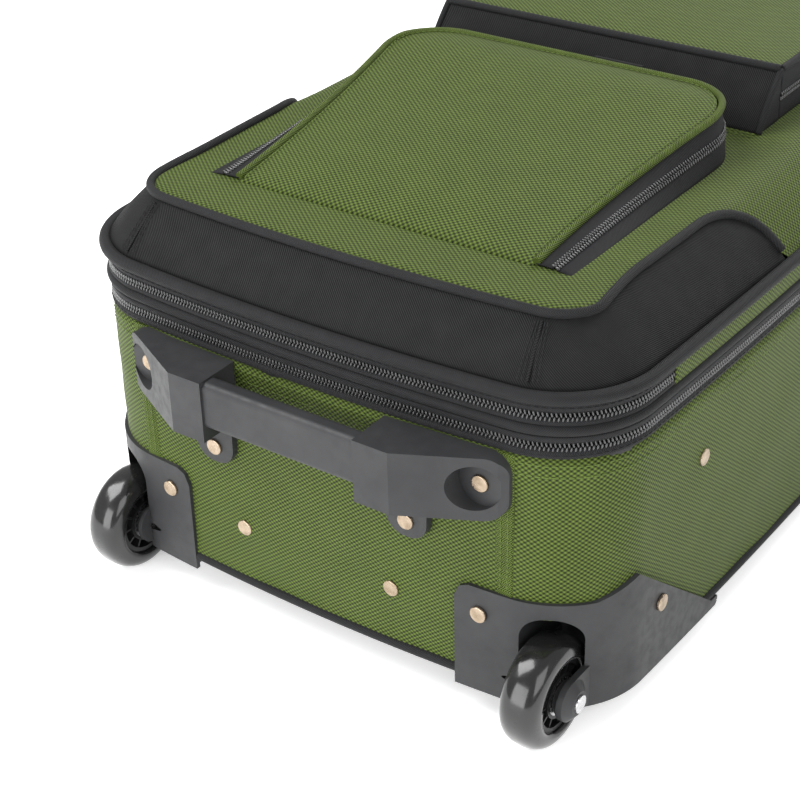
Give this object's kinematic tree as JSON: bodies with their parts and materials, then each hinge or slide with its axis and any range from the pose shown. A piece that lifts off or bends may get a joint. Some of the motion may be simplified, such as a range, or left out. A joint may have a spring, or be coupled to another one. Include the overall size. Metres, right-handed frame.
{
  "type": "softside upright suitcase",
  "caption": "Softside rolling suitcase with in-line wheels, a telescopic handle, zipped lid, expansion zip and front pockets.",
  "frame": {"origin": "middle of the lowest face of the bounding box, with the case lying on its back", "axes": "+Z out of the front panel, +Y from the wheel end to the pull-handle end, +X towards the lid hinge side"},
  "size_m": [0.372, 0.5688, 0.2721],
  "materials": {
    "green_canvas": "coarse basket weave, satin",
    "black_twill": "fine twill, matte",
    "zip_tape": "herringbone tape",
    "lining_cloth": "plain woven",
    "board": "ribbed sheet",
    "moulded_grey": "fine grain",
    "tyre": "glossy, moulded",
    "hub": "moulded",
    "steel": "satin",
    "rivet": "plated, satin",
    "zip_metal": "plated",
    "tube": "anodised",
    "webbing": "woven webbing"
  },
  "bodies": {
    "case": {"axle_left": "steel", "axle_right": "steel", "back_board": "board", "carry_handle_caps": "moulded_grey", "corner_guard_left": "moulded_grey", "corner_guard_right": "moulded_grey", "edge_piping": "black_twill", "expansion_gusset": "black_twill", "expansion_zip_lower": "zip_tape", "foot_handle": "moulded_grey", "foot_handle_rivets": "rivet", "guard_rivets": "rivet", "handle_bezel": "moulded_grey", "handle_outer_tubes": "steel", "lining": "lining_cloth", "main_shell": "green_canvas", "packing_straps": "webbing", "panel_rivets": "rivet", "perimeter_frame": "steel", "strap_buckles": "moulded_grey", "tube_foot_bracket": "moulded_grey", "tunnel_cover": "board"},
    "front_frame": {"expansion_zip_upper": "zip_tape", "welt": "black_twill", "main_zip_lower": "zip_tape", "hinge_strip_lower": "green_canvas", "frame_hoop": "board"},
    "lid": {"main_zip_upper": "zip_tape", "hinge_strip_upper": "green_canvas", "outer_piping": "black_twill", "lid_band": "black_twill", "inner_piping": "black_twill", "front_panel": "green_canvas", "lid_lining": "lining_cloth", "lower_pocket_gusset": "black_twill", "upper_pocket_gusset": "black_twill"},
    "lower_flap": {"lower_pocket_flap": "green_canvas"},
    "upper_flap": {"upper_pocket_flap": "green_canvas"},
    "wheel_left": {"tyre_left": "tyre", "hub_left": "hub", "bearings_left": "steel"},
    "wheel_right": {"tyre_right": "tyre", "hub_right": "hub", "bearings_right": "steel"},
    "stage_1": {"handle_stage_1": "tube"},
    "stage_2": {"handle_stage_2": "tube", "pull_grip": "moulded_grey"},
    "button": {"release_button": "moulded_grey"},
    "top_grip": {"top_carry_grip": "webbing"},
    "side_grip": {"side_carry_grip": "webbing"},
    "main_zip_a_slider": {"main_zip_a_slider": "zip_metal"},
    "main_zip_a_puller": {"main_zip_a_puller": "zip_metal"},
    "main_zip_b_slider": {"main_zip_b_slider": "zip_metal"},
    "main_zip_b_puller": {"main_zip_b_puller": "zip_metal"},
    "expansion_zip_slider": {"expansion_zip_slider": "zip_metal"},
    "expansion_zip_puller": {"expansion_zip_puller": "zip_metal"},
    "lower_pocket_slider": {"lower_pocket_slider": "zip_metal"},
    "lower_pocket_puller": {"lower_pocket_puller": "webbing"},
    "upper_pocket_slider": {"upper_pocket_slider": "zip_metal"},
    "upper_pocket_puller": {"upper_pocket_puller": "webbing"}
  },
  "joints": [
    {"name": "expand", "type": "slide", "parent": "case", "child": "front_frame", "axis": [0, 0, 1], "range_m": [0, 0.05]},
    {"name": "lid_open", "type": "hinge", "parent": "front_frame", "child": "lid", "pos_m": [0.1863, -0.0014, 0.19635], "axis": [0, 1, 0], "range_deg": [0, 180]},
    {"name": "lower_pocket_open", "type": "hinge", "parent": "lid", "child": "lower_flap", "pos_m": [0.005, -0.1874, 0.2426], "axis": [1, 0, 0], "range_deg": [0, 100]},
    {"name": "upper_pocket_open", "type": "hinge", "parent": "lid", "child": "upper_flap", "pos_m": [0.005, 0.0496, 0.2721], "axis": [1, 0, 0], "range_deg": [0, 110]},
    {"name": "wheel_left_spin", "type": "hinge", "parent": "case", "child": "wheel_left", "pos_m": [-0.14, -0.2504, 0.032], "axis": [1, 0, 0], "continuous": true},
    {"name": "wheel_right_spin", "type": "hinge", "parent": "case", "child": "wheel_right", "pos_m": [0.15, -0.2504, 0.032], "axis": [1, 0, 0], "continuous": true},
    {"name": "stage_1_slide", "type": "slide", "parent": "case", "child": "stage_1", "axis": [0, 1, 0], "range_m": [0, 0.28]},
    {"name": "stage_2_slide", "type": "slide", "parent": "stage_1", "child": "stage_2", "axis": [0, 1, 0], "range_m": [0, 0.28]},
    {"name": "button_press", "type": "slide", "parent": "stage_2", "child": "button", "axis": [0, -1, 0], "range_m": [0, 0.003], "stiffness_N_per_m": 900, "springref_m": -0.001},
    {"name": "top_grip_lift", "type": "slide", "parent": "case", "child": "top_grip", "axis": [0, 1, 0], "range_m": [0, 0.012]},
    {"name": "side_grip_lift", "type": "slide", "parent": "case", "child": "side_grip", "axis": [-1, 0, 0], "range_m": [0, 0.012]},
    {"name": "main_zip_a_run", "type": "slide", "parent": "front_frame", "child": "main_zip_a_slider", "axis": [0, 1, 0], "range_m": [-0.03, 0]},
    {"name": "main_zip_a_pull", "type": "hinge", "parent": "main_zip_a_slider", "child": "main_zip_a_puller", "pos_m": [-0.1761, -0.1014, 0.19635], "axis": [0, 0, 1], "range_deg": [0, 170]},
    {"name": "main_zip_b_run", "type": "slide", "parent": "front_frame", "child": "main_zip_b_slider", "axis": [0, 1, 0], "range_m": [0, 0.2]},
    {"name": "main_zip_b_pull", "type": "hinge", "parent": "main_zip_b_slider", "child": "main_zip_b_puller", "pos_m": [-0.1761, -0.0414, 0.19635], "axis": [0, 0, 1], "range_deg": [0, 170]},
    {"name": "expansion_zip_run", "type": "slide", "parent": "case", "child": "expansion_zip_slider", "axis": [0, 1, 0], "range_m": [-0.1, 0.08]},
    {"name": "expansion_zip_pull", "type": "hinge", "parent": "expansion_zip_slider", "child": "expansion_zip_puller", "pos_m": [-0.1761, 0.0786, 0.17915], "axis": [0, 0, 1], "range_deg": [0, 170]},
    {"name": "lower_pocket_run", "type": "slide", "parent": "lid", "child": "lower_pocket_slider", "axis": [1, 0, 0], "range_m": [-0.1, 0.03]},
    {"name": "lower_pocket_pull", "type": "hinge", "parent": "lower_pocket_slider", "child": "lower_pocket_puller", "pos_m": [0.039, 0.0157, 0.2531], "axis": [1, 0, 0], "range_deg": [0, 20]},
    {"name": "upper_pocket_run", "type": "slide", "parent": "lid", "child": "upper_pocket_slider", "axis": [1, 0, 0], "range_m": [-0.1, 0.03]},
    {"name": "upper_pocket_pull", "type": "hinge", "parent": "upper_pocket_slider", "child": "upper_pocket_puller", "pos_m": [0.045, 0.2087, 0.2531], "axis": [1, 0, 0], "range_deg": [0, 20]}
  ]
}
